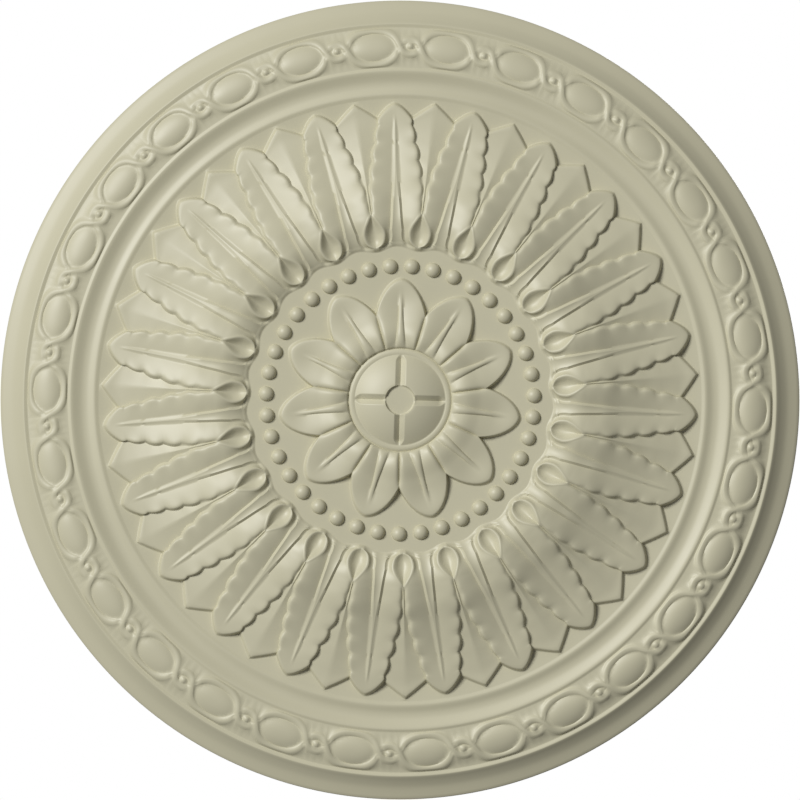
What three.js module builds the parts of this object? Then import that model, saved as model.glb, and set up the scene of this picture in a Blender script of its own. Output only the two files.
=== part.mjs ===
// Ceiling rose: a round moulded ornament that is fixed flat against a ceiling.
// Millimetres, +Z up. Its flat back lies in the plane z = 0 and its carved face looks down.
import * as THREE from 'three';

// Whole piece
const outerDiameter = 610;
const edgeThickness = 4.6;

// Turned mouldings, from the edge inwards; a rise is measured towards the room
const rimWidth = 17.2;
const rimRise = 10.4;
const rimHollow = 1.3;
const rimSteps = 3;
const ledgeWidth = 3.8;
const bandWidth = 29.8;
const bandRise = 6;
const bandShoulder = 19.9;
const bandFallPower = 1.7;
const lipWidth = 3.8;
const lipRise = 1;
const coveWidth = 16.8;
const coveDrop = 1.2;
const coveSteps = 2;
const filletWidth = 3.6;
const filletRise = 0.8;
const fieldWidth = 3.2;
const turnedSides = 68;

// Interlaced band: oval bosses held between two strands that close around a pearl
const cellCount = 30;
const firstOval = 7.7;
const bandAxisInset = 15.5;
const ovalReach = 15.6;
const ovalDepth = 9.4;
const ovalShoulder = 0.42;
const ovalRise = 1.1;
const pearlRadius = 2;
const pearlRise = 1.1;
const strandWidth = 5.8;
const strandRise = 1;
const strandGap = 0.4;
const strandCrossing = 18.7;
const strandTurn = 5;

// Ring of leaves
const leafCount = 23;
const firstLeaf = 14.8;
const leafFootRadius = 115.3;
const leafCrown = 27.8;
const leafEdge = 2.2;
const leafCup = 3.6;
const leafRoll = 0.6;
const edgeSlope = 1.6;
const backLeafOverhang = 1.6;
const backLeafCrease = 1;
const eyeletReach = 23.3;
const eyeletHalfWidth = 7.5;
const eyeletHollow = 3.2;
const eyeletOpening = [[0.45, 0.85, 1], [0.8, 0.95, 1], [1, 0.5, 0]];
const eyeletRim = 1.35;
const eyeletFloor = 0.55;
const eyeletFloorDepth = 0.7;
const noseDrop = 4.2;
const leafTipOutline = [[0, 0], [0.22, 0.02], [0.35, 0.065]];
const leafNotchShare = 0.43;
const leafNotchReach = 0.103;
const leafRows = [0.18, 0.32, 0.47, 0.62];
const leafCrestShare = 0.72;
const leafFootShares = [0, 0.4, 0.6, 0.8, 1];

// Sunk centre with its ring of beads
const centreRise = 20.2;
const beadRingInset = 13.4;
const beadRadius = 5.7;
const beadSpacing = 16.4;
const firstBead = 5;
const beadShoulder = 0.55;

// Flower
const petalCount = 11;
const firstPetal = 0.6;
const petalTipInset = 9.1;
const petalCrown = 9.8;
const petalEdge = 2;
const petalCup = 1.9;
const petalValley = 1.5;
const petalRoll = 0.4;
const petalTipOutline = [[0, 0], [0.2, 0.04], [0.45, 0.14], [0.66, 0.25], [1, 0.44]];
const petalRows = [0.55, 0.73, 0.9];
const petalSpread = 0.45;
const petalVein = 0.5;
const petalGrooveShare = 0.2;
const petalCrestShare = 0.55;
const petalMarginShare = 0.85;
const petalFootShares = [0, 0.2, 0.5, 0.8, 1];

// Boss in the middle of the flower
const bossRadius = 38.3;
const bossStep = 1.4;
const bossFoot = 6.6;
const bossRimWidth = 3.8;
const bossRimRise = 6.9;
const domeRise = 7.6;
const domePower = 3;
const domeRows = 2;
const slotCount = 4;
const slotWidth = 8;
const slotDepth = 2.2;
const slotInset = 1;
const slotEndDepth = 0.5;
const buttonRadius = 10.7;
const buttonSink = 1.5;
const buttonStep = 0.8;

const turn = 2 * Math.PI;
const degree = turn / 360;

// Radii that follow from the widths above
const outerRadius = outerDiameter / 2;
const ledgeRadius = outerRadius - rimWidth;
const bandRadius = ledgeRadius - ledgeWidth;
const bandAxis = bandRadius - bandAxisInset;
const lipRadius = bandRadius - bandWidth;
const coveRadius = lipRadius - lipWidth;
const filletRadius = coveRadius - coveWidth;
const fieldRadius = filletRadius - filletWidth;
const leafTipRadius = fieldRadius - fieldWidth;
const leafLength = leafTipRadius - leafFootRadius;
const beadRingRadius = leafFootRadius - beadRingInset;
const petalTipRadius = beadRingRadius - petalTipInset;

// Heights above the flat back
const ledgeHeight = edgeThickness + rimRise;
const fieldHeight = ledgeHeight + bandRise;
const centreHeight = fieldHeight + centreRise;

const mix = (from, to, share) => from + (to - from) * share;

// A smooth curve through a few points [x, y] with rising x, without overshoot
function through(points) {
  const slope = (i) => (points[i + 1][1] - points[i][1]) / (points[i + 1][0] - points[i][0]);
  const last = points.length - 1;
  const tangents = points.map((_, i) => {
    if (i === 0) return slope(0);
    if (i === last) return slope(last - 1);
    const before = slope(i - 1);
    const after = slope(i);
    return before * after <= 0 ? 0 : (2 * before * after) / (before + after);
  });
  return (x) => {
    let i = 0;
    while (i < last - 1 && x > points[i + 1][0]) i += 1;
    const span = points[i + 1][0] - points[i][0];
    const s = (x - points[i][0]) / span;
    const fromStart = (1 + 2 * s) * (1 - s) ** 2 * points[i][1] + s * (1 - s) ** 2 * span * tangents[i];
    const fromEnd = s * s * (3 - 2 * s) * points[i + 1][1] + s * s * (s - 1) * span * tangents[i + 1];
    return fromStart + fromEnd;
  };
}

// A ring is a closed row of points, each an angle clockwise from the top, a radius and a height
const circle = (sides, radius, height, start = 0) =>
  Array.from({ length: sides }, (_, i) => ({ angle: start + (i * turn) / sides, radius, height }));

// A ring of alike sectors: each is mirrored about its middle, where share is 0, out to its sides at 1
function sectorRing(count, first, half) {
  const halfAngle = turn / count / 2;
  const ring = [];
  for (let k = 0; k < count; k += 1) {
    const middle = first * degree + 2 * k * halfAngle;
    const place = (point, side) => ({ ...point, angle: middle + side * point.share * halfAngle });
    const doubled = half.filter((point) => point.share > 0 && point.share < 1);
    ring.push(...doubled.reverse().map((point) => place(point, -1)));
    ring.push(...half.map((point) => place(point, 1)));
  }
  return ring;
}

// Turned mouldings
function rimRings() {
  const rings = [circle(turnedSides, outerRadius, 0)];
  for (let i = 0; i <= rimSteps; i += 1) {
    const share = i / rimSteps;
    const hollow = rimHollow * 4 * share * (1 - share);
    rings.push(circle(turnedSides, outerRadius - rimWidth * share, edgeThickness + rimRise * share - hollow));
  }
  return rings;
}

function coveRings() {
  const rings = [circle(turnedSides, coveRadius, fieldHeight + lipRise)];
  const coveFoot = fieldHeight - coveDrop;
  for (let i = 1; i <= coveSteps; i += 1) {
    const share = i / coveSteps;
    const start = mix(fieldHeight + lipRise, fieldHeight + filletRise, share);
    const sag = (start - coveFoot) * Math.sin(Math.PI * share);
    rings.push(circle(turnedSides, mix(coveRadius, filletRadius, share), start - sag));
  }
  rings.push(circle(turnedSides, fieldRadius, fieldHeight));
  return rings;
}

// Ground of the interlaced band, a quarter round that falls towards the ledge
function bandGround(radius) {
  const fall = Math.max(0, 1 - (bandRadius - radius) / bandShoulder);
  return fieldHeight - bandRise * fall ** bandFallPower;
}

// Distance of a strand from the axis of the band, at a distance along it from the middle of an oval
const ovalStrand = ovalDepth + strandGap + strandWidth / 2;
const pearlStrand = pearlRadius + strandWidth / 2;
function strandOffset(along) {
  const middle = (ovalStrand - pearlStrand) / 2;
  const reach = (ovalStrand + pearlStrand) / 2;
  const shift = strandTurn * Math.atanh(middle / reach);
  return middle + reach * Math.tanh((strandCrossing - shift - along) / strandTurn);
}

function bandRings() {
  const cellHalf = (turn / cellCount / 2) * bandAxis;
  const columns = [
    { along: ovalReach * ovalShoulder, eye: ovalDepth, rise: ovalRise },
    { along: ovalReach, eye: strandGap, rise: 0 },
    { along: cellHalf, eye: pearlRadius, rise: pearlRise },
  ];
  const row = (placed) =>
    sectorRing(cellCount, firstOval, columns.map((column) => {
      const { offset, rise } = placed(column);
      const radius = bandAxis + offset;
      return { share: column.along / cellHalf, radius, height: bandGround(radius) + rise };
    }));
  const strandAt = (column) => Math.max(Math.abs(strandOffset(column.along)), column.eye + strandWidth / 2);
  const foot = (radius) => row(() => ({ offset: radius - bandAxis, rise: 0 }));
  const strand = (side) => row((column) => ({ offset: side * strandAt(column), rise: strandRise }));
  const eyeEdge = (side) => row((column) => ({ offset: side * column.eye, rise: 0 }));
  const eyeTop = row((column) => ({ offset: 0, rise: column.rise }));
  return [foot(bandRadius), strand(1), eyeEdge(1), eyeTop, eyeEdge(-1), strand(-1), foot(lipRadius)];
}

// Leaves: share runs from the tip of a leaf, at 0, to its foot, at 1
const leafProfile = through([
  [0, leafCrown * 0.07],
  [0.25, leafCrown * 0.32],
  [0.5, leafCrown * 0.66],
  [0.66, leafCrown * 0.92],
  [0.79, leafCrown],
  [0.9, leafCrown * 0.93],
  [1, centreRise],
]);
const leafHalfWidth = through([[0.1, 0.41], [0.25, 0.62], [0.45, 0.85], [0.6, 0.93], [0.76, 0.96]]);
const cupDepth = through([[0, 0], [0.25, 0.45], [0.7, 1], [0.9, 0.7], [1, 0]]);
const backLeafProfile = through([[0, 0.9], [0.25, 1.04], [0.5, 0.88], [0.76, 0.96]]);
const leafRadius = (share) => leafTipRadius - leafLength * share;
const eyeletStart = 1 - (eyeletReach + noseDrop) / leafLength;
const noseStart = 1 - noseDrop / leafLength;

// The zigzag outline of the front and back leaves, and the same line a step up and in
function leafOutline(inset, rise) {
  const ring = leafTipOutline.map(([share, along]) => ({
    share: share * (1 - inset / leafLength),
    radius: leafRadius(along) - inset,
    height: fieldHeight + rise + (rise ? leafProfile(along + inset / leafLength) - leafProfile(0) : 0),
  }));
  const notchRise = rise ? leafProfile(leafNotchReach) - leafRoll : 0;
  const notchRadius = leafRadius(leafNotchReach) - inset;
  ring.push({ share: leafNotchShare, radius: notchRadius, height: fieldHeight + notchRise });
  ring.push({ share: 1, radius: leafTipRadius + backLeafOverhang - inset, height: fieldHeight + rise });
  return sectorRing(leafCount, firstLeaf, ring);
}

// A row across the blades, where the front leaves lie over the creased back leaves
function bladeRow(share) {
  const radius = leafRadius(share);
  const crest = fieldHeight + leafProfile(share);
  const edge = leafHalfWidth(share);
  const halfSector = (turn / leafCount / 2) * radius;
  const foot = Math.min(edge + edgeSlope / halfSector, mix(edge, 1, 0.5));
  const crease = fieldHeight + leafProfile(share) * backLeafProfile(share);
  const edgeDrop = leafRoll + leafEdge * (1 - share / 2);
  const footHeight = Math.min(crest - edgeDrop, crease - backLeafCrease * (1 - share));
  return sectorRing(leafCount, firstLeaf, [
    { share: 0, radius, height: crest - leafCup * cupDepth(share) },
    { share: edge * leafCrestShare, radius, height: crest },
    { share: edge, radius, height: crest - leafRoll },
    { share: foot, radius, height: footHeight },
    { share: 1, radius, height: crease },
  ]);
}

// A row through the eyelets, where the margins of two leaves roll around a drop shaped hollow
function eyeletRow(share, open, hollow) {
  const radius = leafRadius(share);
  const crest = fieldHeight + leafProfile(share);
  const halfSector = (turn / leafCount / 2) * radius;
  const opening = (eyeletHalfWidth * open) / halfSector;
  return sectorRing(leafCount, firstLeaf, [
    { share: 0, radius, height: crest - leafCup * cupDepth(share) },
    { share: 1 - opening * eyeletRim, radius, height: crest - leafRoll },
    { share: 1 - opening, radius, height: crest },
    { share: 1 - opening * eyeletFloor, radius, height: crest - hollow * eyeletFloorDepth },
    { share: 1, radius, height: crest - hollow },
  ]);
}

function leafRings() {
  const foot = sectorRing(leafCount, firstLeaf, leafFootShares.map((share) => (
    { share, radius: leafFootRadius, height: centreHeight }
  )));
  return [
    leafOutline(0, 0),
    leafOutline(edgeSlope, leafProfile(0)),
    ...[...leafRows, eyeletStart].map(bladeRow),
    ...eyeletOpening.map(([along, open, hollow]) => (
      eyeletRow(mix(eyeletStart, noseStart, along), open, hollow * eyeletHollow)
    )),
    foot,
  ];
}

// Beads: a dome over a small grid for each one, with flat ground between
function beadRings() {
  const count = Math.round((turn * beadRingRadius) / beadSpacing);
  return [1, beadShoulder, -beadShoulder, -1].map((across) => {
    const radius = beadRingRadius + across * beadRadius;
    const halfSector = (turn / count / 2) * beadRingRadius;
    const domed = (along) => beadRadius * Math.sqrt(Math.max(0, 1 - across ** 2 - along ** 2));
    return sectorRing(count, firstBead, [
      { share: 0, radius, height: centreHeight + domed(0) },
      { share: (beadShoulder * beadRadius) / halfSector, radius, height: centreHeight + domed(beadShoulder) },
      { share: 1, radius, height: centreHeight },
    ]);
  });
}

// Petals: share runs from the tip of a petal, at 0, to the foot of the boss, at 1
const petalLength = petalTipRadius - bossRadius;
const petalProfile = through([[0, 0.24], [0.25, 0.38], [0.55, 0.66], [0.84, 1], [1, 0.82]]);
const petalRadius = (share) => petalTipRadius - petalLength * share;

function petalOutline(inset, rise) {
  return sectorRing(petalCount, firstPetal, petalTipOutline.map(([share, along]) => ({
    share: share === 1 ? 1 : share * (1 - inset / petalLength),
    radius: petalRadius(along) - inset,
    height: centreHeight + rise * (petalCrown * petalProfile(along + inset / petalLength) - petalRoll),
  })));
}

function petalRow(share) {
  const radius = petalRadius(share);
  const crest = centreHeight + petalCrown * petalProfile(share);
  const spread = Math.min(1, petalSpread + share);
  const cup = petalCup * Math.min(1, share * 2.5);
  return sectorRing(petalCount, firstPetal, [
    { share: 0, radius, height: crest - cup * petalVein },
    { share: petalGrooveShare * spread, radius, height: crest - cup },
    { share: petalCrestShare * spread, radius, height: crest },
    { share: petalMarginShare * spread, radius, height: crest - petalRoll },
    { share: 1, radius, height: crest - petalValley },
  ]);
}

function petalRings() {
  const foot = sectorRing(petalCount, firstPetal, petalFootShares.map((share) => (
    { share, radius: bossRadius + bossStep, height: centreHeight + bossFoot }
  )));
  return [petalOutline(0, 0), petalOutline(petalEdge, 1), ...petalRows.map(petalRow), foot];
}

// Boss: a flat rim and a low dome, quartered by slots that run out from a sunk button
function bossRings() {
  const rimHeight = centreHeight + bossRimRise;
  const domeRadius = bossRadius - bossRimWidth;
  const slotEnd = domeRadius - slotInset;
  const domeHeight = (radius) => rimHeight + domeRise * (1 - (radius / domeRadius) ** domePower);
  const halfAngle = turn / slotCount / 2;
  const row = (radius, height, depth) => {
    const slotEdge = Math.asin(Math.min(1, slotWidth / 2 / radius)) / halfAngle;
    return sectorRing(slotCount, 0, [
      { share: 0, radius, height: height - depth },
      { share: slotEdge, radius, height },
      { share: mix(slotEdge, 1, 0.5), radius, height },
      { share: 1, radius, height },
    ]);
  };
  const rings = [row(bossRadius, rimHeight, 0), row(domeRadius, rimHeight, 0)];
  for (let i = 0; i <= domeRows; i += 1) {
    const radius = mix(slotEnd, buttonRadius + buttonStep, i / domeRows);
    rings.push(row(radius, domeHeight(radius), slotDepth * Math.min(1, slotEndDepth + i)));
  }
  rings.push(row(buttonRadius, domeHeight(buttonRadius) - buttonSink - slotDepth, 0));
  return rings;
}

// Skin: each ring is joined to the next one inwards, and the two ends are closed by fans
function solidFrom(rings, backHeight, topHeight) {
  const positions = [];
  const indices = [];
  const place = (point) => {
    const { angle, radius, height } = point;
    positions.push(radius * Math.sin(angle), radius * Math.cos(angle), height);
    return { ...point, index: positions.length / 3 - 1 };
  };
  const triangle = (a, b, c) => indices.push(a.index, b.index, c.index);
  const planArea = (a, b, c) => {
    const [ax, ay, bx, by, cx, cy] = [a, b, c].flatMap(({ index }) => positions.slice(3 * index, 3 * index + 2));
    return (bx - ax) * (cy - ay) - (by - ay) * (cx - ax);
  };
  const byAngle = (ring) => {
    const wrapped = ring.map((point) => ({ ...point, angle: ((point.angle % turn) + turn) % turn }));
    return wrapped.sort((a, b) => a.angle - b.angle);
  };

  // Of the two ways to halve a facet, the one whose narrower half is the wider in plan
  const stitchAlike = (outer, inner) => {
    outer.forEach((a, i) => {
      const next = (i + 1) % outer.length;
      const [b, c, d] = [outer[next], inner[i], inner[next]];
      const oneWay = Math.min(planArea(a, c, b), planArea(b, c, d));
      const otherWay = Math.min(planArea(a, c, d), planArea(a, d, b));
      if (oneWay >= otherWay) {
        triangle(a, c, b);
        triangle(b, c, d);
      } else {
        triangle(a, c, d);
        triangle(a, d, b);
      }
    });
  };

  const stitchByAngle = (outerRing, innerRing) => {
    const outer = byAngle(outerRing);
    const inner = byAngle(innerRing);
    const angleAt = (ring, i) => ring[i % ring.length].angle + (i >= ring.length ? turn : 0);
    let i = 0;
    let j = 0;
    while (i < outer.length || j < inner.length) {
      const [a, c] = [outer[i % outer.length], inner[j % inner.length]];
      const [b, d] = [outer[(i + 1) % outer.length], inner[(j + 1) % inner.length]];
      const outerComesFirst = angleAt(outer, i + 1) <= angleAt(inner, j + 1);
      const onOuter = outerComesFirst ? planArea(a, c, b) > 0 : planArea(a, c, d) <= 0;
      if (j >= inner.length || (onOuter && i < outer.length)) {
        triangle(a, c, b);
        i += 1;
      } else {
        triangle(a, c, d);
        j += 1;
      }
    }
  };

  const placed = rings.map((ring) => ring.map(place));
  placed.slice(1).forEach((inner, i) => {
    const outer = placed[i];
    const alike = outer.length === inner.length;
    (alike ? stitchAlike : stitchByAngle)(outer, inner);
  });
  const back = place({ angle: 0, radius: 0, height: backHeight });
  placed[0].forEach((a, i) => triangle(a, placed[0][(i + 1) % placed[0].length], back));
  const top = place({ angle: 0, radius: 0, height: topHeight });
  const last = placed[placed.length - 1];
  last.forEach((a, i) => triangle(a, top, last[(i + 1) % last.length]));

  const geometry = new THREE.BufferGeometry();
  geometry.setAttribute('position', new THREE.Float32BufferAttribute(positions, 3));
  geometry.setIndex(indices);
  geometry.computeVertexNormals();
  return geometry;
}

function ceilingRose() {
  const boss = bossRings();
  const buttonHeight = boss[boss.length - 1][0].height;
  const rings = [
    ...rimRings(),
    ...bandRings(),
    ...coveRings(),
    ...leafRings(),
    ...beadRings(),
    ...petalRings(),
    ...boss,
  ];
  const paint = new THREE.MeshStandardMaterial({ color: 0xb7b29a, roughness: 0.45, metalness: 0 });
  const rose = new THREE.Mesh(solidFrom(rings, 0, buttonHeight), paint);
  rose.name = 'ceiling_rose';
  return rose;
}

// The rose is drawn face up and then turned over, as it hangs
const group = new THREE.Group();
group.add(ceilingRose());
group.rotation.y = Math.PI;

export default group;
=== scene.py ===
# The look of a round moulded ceiling rose, worked out zone by zone from the edge to the middle.
# The rose is drawn face up in millimetres and then turned over, as it hangs under a ceiling.
import math

import bpy
import numpy as np
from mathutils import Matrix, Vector


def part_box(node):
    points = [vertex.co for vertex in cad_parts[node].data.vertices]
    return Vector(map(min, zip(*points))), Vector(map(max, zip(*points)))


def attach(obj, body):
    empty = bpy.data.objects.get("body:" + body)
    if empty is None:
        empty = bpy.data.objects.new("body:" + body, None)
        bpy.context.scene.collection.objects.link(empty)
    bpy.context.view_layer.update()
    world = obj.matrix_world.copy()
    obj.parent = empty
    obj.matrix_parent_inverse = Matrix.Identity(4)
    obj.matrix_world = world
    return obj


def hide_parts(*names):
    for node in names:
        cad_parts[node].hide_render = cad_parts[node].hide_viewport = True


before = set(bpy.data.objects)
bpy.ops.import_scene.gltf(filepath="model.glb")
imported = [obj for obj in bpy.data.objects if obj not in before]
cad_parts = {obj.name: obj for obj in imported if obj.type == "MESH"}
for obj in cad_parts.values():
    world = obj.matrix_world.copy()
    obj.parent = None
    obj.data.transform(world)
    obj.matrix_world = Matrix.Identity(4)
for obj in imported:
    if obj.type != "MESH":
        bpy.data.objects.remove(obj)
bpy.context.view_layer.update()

MILLIMETRE = 0.001
CREASE_ANGLE = 55
MOST_TRIANGLES = 200000
TURN = 2 * math.pi
rose_low, rose_high = (list(corner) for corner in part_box("ceiling_rose"))
OUTER_RADIUS = (rose_high[0] - rose_low[0]) / 2 / MILLIMETRE

# Turned mouldings, from the edge inwards
EDGE_THICKNESS = 4.6
EDGE_ROUND = 0.7
RIM_WIDTH = 17.9
RIM_RISE = 10.4
LEDGE_WIDTH = 3.1
LEDGE_STEP = 0.5
BAND_WIDTH = 30.3
BAND_RISE = 6.0
BAND_SHOULDER = 19.9
BAND_FALL_POWER = 1.7
LIP_WIDTH = 3.3
LIP_RISE = 0.95
COVE_WIDTH = 17.4
COVE_DROP = 1.35
FILLET_WIDTH = 3.4
FILLET_RISE = 0.55
FIELD_WIDTH = 2.8
FIELD_DIP = 0.1
TURNED_SIDES = 240
BACK_RING_INSETS = (0.004, 0.35, 0.7)

# Interlaced band
CELL_COUNT = 30
FIRST_OVAL = 7.7
BAND_AXIS_INSET = 14.6
BAND_FADE = 1.2
OVAL_REACH = 16.2
OVAL_DEPTH = 10.7
OVAL_RISE = 1.4
OVAL_FULLNESS = 3.2
PEARL_INSET = 0.9
PEARL_RADIUS = 2.7
PEARL_RISE = 1.8
STRAND_WIDTH = 6.1
STRAND_RISE = 1.45
STRAND_FULLNESS = 3
STRAND_CROSSING = 20.6
CROSSING_REACH = 5.0
CROSSING_ROW_GAP = 1.5
UNDER_STRAND = -0.85
OVER_STRAND = 0.1
RAY_CENTRE = 7.0
RAY_PITCH = 24.0
RAY_RISE = 0.3
RAY_FADE_IN = (1.0, 3.5)
# Rows of the mesh over a strand: least distance from the border of its edge, flank and crest, and the rows
# on both sides of its edge
STRAND_ROOMS = (1.1, 1.8, 2.5)
STRAND_EDGE_ROWS = (0.3, -0.45)
STRAND_FLANK_SHARE = 0.6
STRAND_INNER_SHARE = 0.4
OVAL_ROW_SHARES = (0.86, 0.66, 0.36)

# Wreath of leaves
LEAF_COUNT = 23
FIRST_LEAF = 14.6
LEAF_FOOT_RADIUS = 115.3
LEAF_CROWN = 27.8
LEAF_EDGE = 2.1
LEAF_EDGE_LOSS = 0.55
LEAF_ROLL = 0.5
LEAF_CREST_PLACE = 0.9
LEAF_NOTCH = 0.1
LEAF_TIP_POWER = 1.55
NOTCH_SHARE = 0.45
NOTCH_GAP = 0.005
TIP_VEIN_SHARE = 0.03
LOBE_LENGTH = 14.1
LOBE_DEPTH = 1.1
LOBE_FULLNESS = 0.7
RUFFLE = 1.0
FIRST_LOBE = 23.0
VEIN_FLANK = 1.9
VEIN_FLANK_MOST = 0.75
VEIN_SHARE_MOST = 0.6
VEIN_SAG = 0.55
BACK_LEAF_OVERHANG = 1.3
BACK_LEAF_SINK = 1.3
BACK_LEAF_CREASE = 0.6
BACK_LEAF_END = 0.76
LEAF_WALL = 1.9
LEAF_WALL_AT_TIP = 0.5
LEAF_WALL_MOST = 0.6
EYELET_START = 0.757
EYELET_END = 0.971
EYELET_HALF_WIDTH = 6.6
EYELET_HOLLOW = 4.0
EYELET_BOWL = 6.4
EYELET_RIM = 1.9
EYELET_RIM_RISE = 0.4
EYELET_CREST_PLACE = 0.97
FOOT_WAVE = 1.7
FOOT_STEP = 0.5

# Stretches of a leaf's length where a form comes or goes, from 0 at the tip to 1 at the foot
ROLL_COMES = (0.03, 0.15)
EDGE_COMES = (0, 0.12)
SCALLOPS_COME = (0.08, 0.2)
RUFFLE_COMES = (0.1, 0.2)
SCALLOPS_GO = (0.6, 0.74)
WALL_WIDENS = (0.12, 0.35)
BACK_LEAF_SINKS = (0, 0.1)
BACK_LEAF_RISES = (0.3, 0.55)
GAP_NARROWS = (0.4, 0.62)
VEIN_SAGS = (0.5, 0.8)
MARGIN_TURNS = (0.7, 0.765)
WALL_TURNS = (0.72, 0.77)
EYELET_COMES = (0.73, 0.78)
FLUTE_HOLLOWS = (0.78, 0.92)
FOOT_WAVES = (0.85, 1)
FOOT_FALLS = (0.97, 1)

# How a blade climbs from its groove to its crest: where it is arched, and where it is a hollow flute
BLADE_ARCH_POWER = 1.5
BLADE_FLUTE_POWER = 2.2

# Cut edge of a leaf and of a petal: how far each row lies inside the outline, and its share of the height
LEAF_CUT = ((-1.3, 0), (-0.8, 0), (-0.2, 0.09), (0.5, 0.42), (1.2, 0.75), (1.9, 0.94), (2.8, 1))
PETAL_CUT = ((-1.2, 0), (-0.7, 0), (-0.1, 0.1), (0.6, 0.46), (1.3, 0.78), (2.1, 0.95), (2.9, 1))

# Sunk centre with its beads
CENTRE_RISE = 20.2
BEAD_RING_INSET = 13.4
BEAD_RADIUS = 5.7
BEAD_FLATNESS = 0.82
BEAD_SPACING = 16.4
FIRST_BEAD = 5.0

# Flower
PETAL_COUNT = 11
FIRST_PETAL = 0.6
PETAL_TIP_INSET = 9.1
PETAL_TIP_POWER = 1.65
PETAL_CROWN = 9.8
PETAL_CREST_PLACE = 0.75
PETAL_SHOULDER = 0.456
PETAL_CUP = 1.9
PETAL_ROLL = 0.5
PETAL_VALLEY = 1.9
PETAL_VALLEY_WIDTH = 2.2
PETAL_VALLEY_POWER = 1.8
PETAL_VEIN_RISE = 1.5
PETAL_VEIN_FLANK = 0.5
PETAL_TIP_VEIN_SHARE = 0.05
PETAL_FOOT_LOSS = 0.7

# Such stretches of a petal's length
PETAL_CUP_COMES = (0.05, 0.4)
PETAL_VEIN_COMES = (0.2, 0.5)
PETAL_VALLEY_COMES = (PETAL_SHOULDER, 0.6)
PETAL_FOOT_FLATTENS = (0.9, 0.965)

# Boss
BOSS_RADIUS = 38.3
BOSS_STEP = 1.0
BOSS_FOOT = 5.0
BOSS_RIM_WIDTH = 3.8
BOSS_RIM_RISE = 6.2
DOME_SINK = 0.3
DOME_RISE = 8.8
DOME_POWER = 2.4
DOME_ROWS = 16
DOME_FIRST_ROW = 0.6
DOME_LAST_ROW = 0.7
SLOT_COUNT = 4
SLOT_WIDTH = 8.0
SLOT_DEPTH = 3.1
SLOT_TAPER = 4.5
SLOT_OVERRUN = 0.5
SLOT_END_SHARE = 0.4
SLOT_END_SLOPE = 0.3
FIRST_SLOT = 1.6
BUTTON_RADIUS = 10.7
BUTTON_SINK = 2.7
BUTTON_STEP = 0.8
BUTTON_EDGE_DROP = 0.15
BUTTON_EDGE_RISE = 0.3

# Radii and heights that follow
LEDGE_RADIUS = OUTER_RADIUS - RIM_WIDTH
BAND_RADIUS = LEDGE_RADIUS - LEDGE_WIDTH
BAND_AXIS = BAND_RADIUS - BAND_AXIS_INSET
CELL_HALF = TURN / CELL_COUNT / 2 * BAND_AXIS
LIP_RADIUS = BAND_RADIUS - BAND_WIDTH
COVE_RADIUS = LIP_RADIUS - LIP_WIDTH
FILLET_RADIUS = COVE_RADIUS - COVE_WIDTH
FIELD_RADIUS = FILLET_RADIUS - FILLET_WIDTH
LEAF_TIP_RADIUS = FIELD_RADIUS - FIELD_WIDTH
LEAF_LENGTH = LEAF_TIP_RADIUS - LEAF_FOOT_RADIUS
BEAD_RING_RADIUS = LEAF_FOOT_RADIUS - BEAD_RING_INSET
BEAD_COUNT = round(TURN * BEAD_RING_RADIUS / BEAD_SPACING)
PETAL_TIP_RADIUS = BEAD_RING_RADIUS - PETAL_TIP_INSET
PETAL_LENGTH = PETAL_TIP_RADIUS - BOSS_RADIUS
LEDGE_HEIGHT = EDGE_THICKNESS + RIM_RISE
FIELD_HEIGHT = LEDGE_HEIGHT + BAND_RISE
CENTRE_HEIGHT = FIELD_HEIGHT + CENTRE_RISE


def mix(start, end, share):
    return start + (end - start) * share


def ease(low, high, x):
    """0 below low, 1 above high and a smooth step between."""
    s = np.clip((x - low) / (high - low), 0, 1)
    return s * s * (3 - 2 * s)


def through(*points):
    """A smooth curve through a few points (x, y) with rising x, without overshoot."""
    xs, ys = (np.array(values, dtype=float) for values in zip(*points))
    chords = np.diff(ys) / np.diff(xs)
    before, after = chords[:-1], chords[1:]
    total = np.where(before + after == 0, 1, before + after)
    joined = np.where(before * after > 0, 2 * before * after / total, 0)
    tangents = np.concatenate([chords[:1], joined, chords[-1:]])

    def curve(x):
        x = np.asarray(x, dtype=float)
        i = np.clip(np.searchsorted(xs, x, side="right") - 1, 0, len(xs) - 2)
        span = xs[i + 1] - xs[i]
        s = np.clip((x - xs[i]) / span, 0, 1)
        leaving = (1 + 2 * s) * (1 - s) ** 2 * ys[i] + s * (1 - s) ** 2 * span * tangents[i]
        arriving = s * s * (3 - 2 * s) * ys[i + 1] + s * s * (s - 1) * span * tangents[i + 1]
        return leaving + arriving

    return curve


# A zone is three arrays of rows from its outer to its inner side: angle, radius and height
def turned_zone(profile):
    radius, height = (np.array(values, dtype=float)[:, None] for values in zip(*profile))
    angle = np.arange(TURNED_SIDES)[None, :] * TURN / TURNED_SIDES
    return np.broadcast_arrays(angle, radius, height)


def repeat_zone(count, first, share, radius, height):
    """Whole sectors side by side; share runs from just over -1 to 1 across each."""
    half_angle = TURN / count / 2
    middles = math.radians(first) + 2 * half_angle * np.arange(count)
    angle = (middles[None, :, None] + half_angle * share[:, None, :]).reshape(len(share), -1)
    return angle, np.tile(radius, (1, count)), np.tile(height, (1, count))


def mirrored_zone(count, first, share, radius, height):
    """Half sectors, from share 0 in the middle to 1 at the side, doubled and set round the ring."""
    halves = ((-1, share), (1, radius), (1, height))
    doubled = [np.concatenate([sign * half[:, -2:0:-1], half], axis=1) for sign, half in halves]
    return repeat_zone(count, first, *doubled)


# Turned mouldings
# The rise of the rim, as a share, from the rounded edge at 0 to the ledge at 1
rim_curve = through(
    (0, 0), (0.25, 0.175), (0.46, 0.33), (0.57, 0.435), (0.7, 0.59), (0.85, 0.79), (0.95, 0.945), (1, 1)
)


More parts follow.
